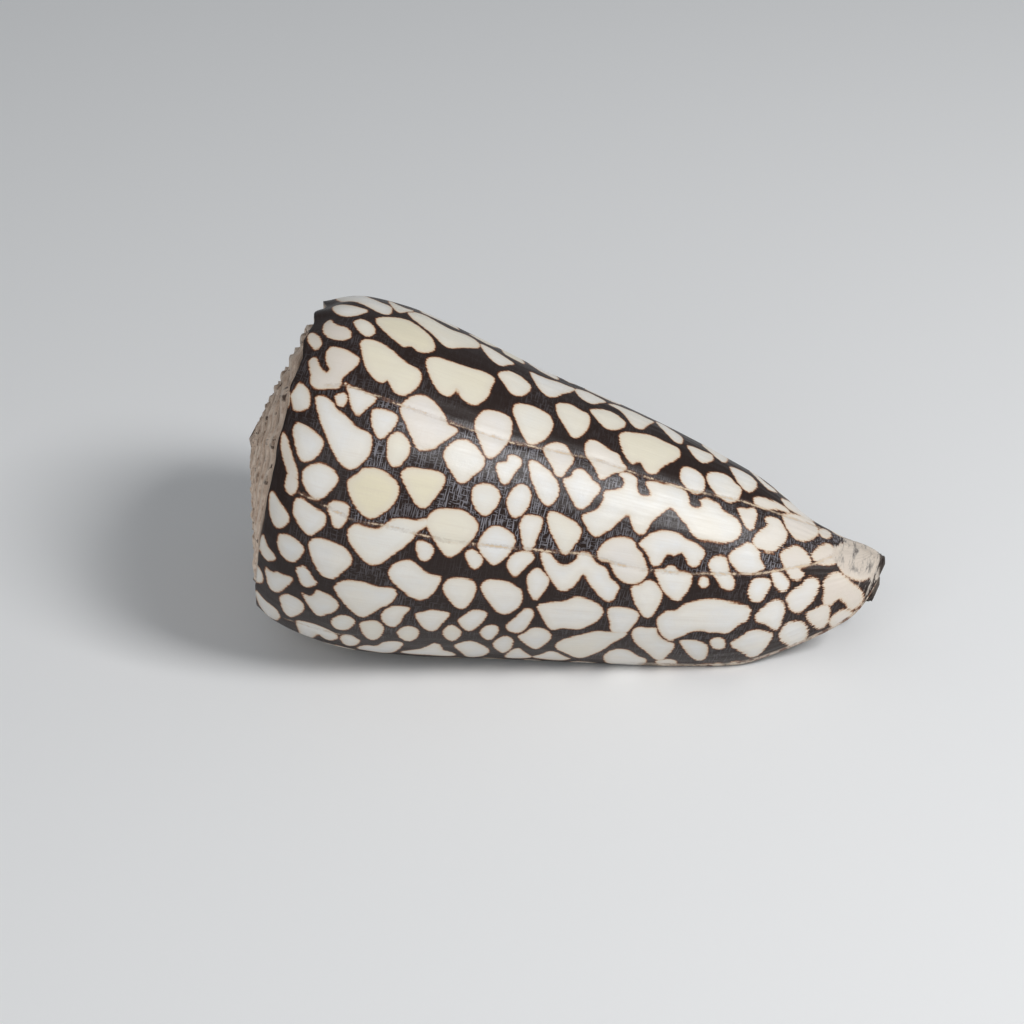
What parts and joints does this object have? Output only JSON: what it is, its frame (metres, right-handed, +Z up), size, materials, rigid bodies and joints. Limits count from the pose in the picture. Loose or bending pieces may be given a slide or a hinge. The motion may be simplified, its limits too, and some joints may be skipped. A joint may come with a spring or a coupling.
{
  "type": "cone shell",
  "caption": "Marine cone snail shell, a steep cone with a low knobbed spire and a long slit aperture, patterned with pale tents on black-brown.",
  "frame": {"origin": "bottom centre of the bounding box, on the surface that the shell rests on, aperture side down", "axes": "+Z up; +X along the shell towards the narrow anterior end; the outer lip comes down on the -Y side"},
  "size_m": [0.0948, 0.0504, 0.0488],
  "materials": {
    "shell": "gloss"
  },
  "bodies": {
    "root": {"shell": "shell"}
  },
  "joints": []
}
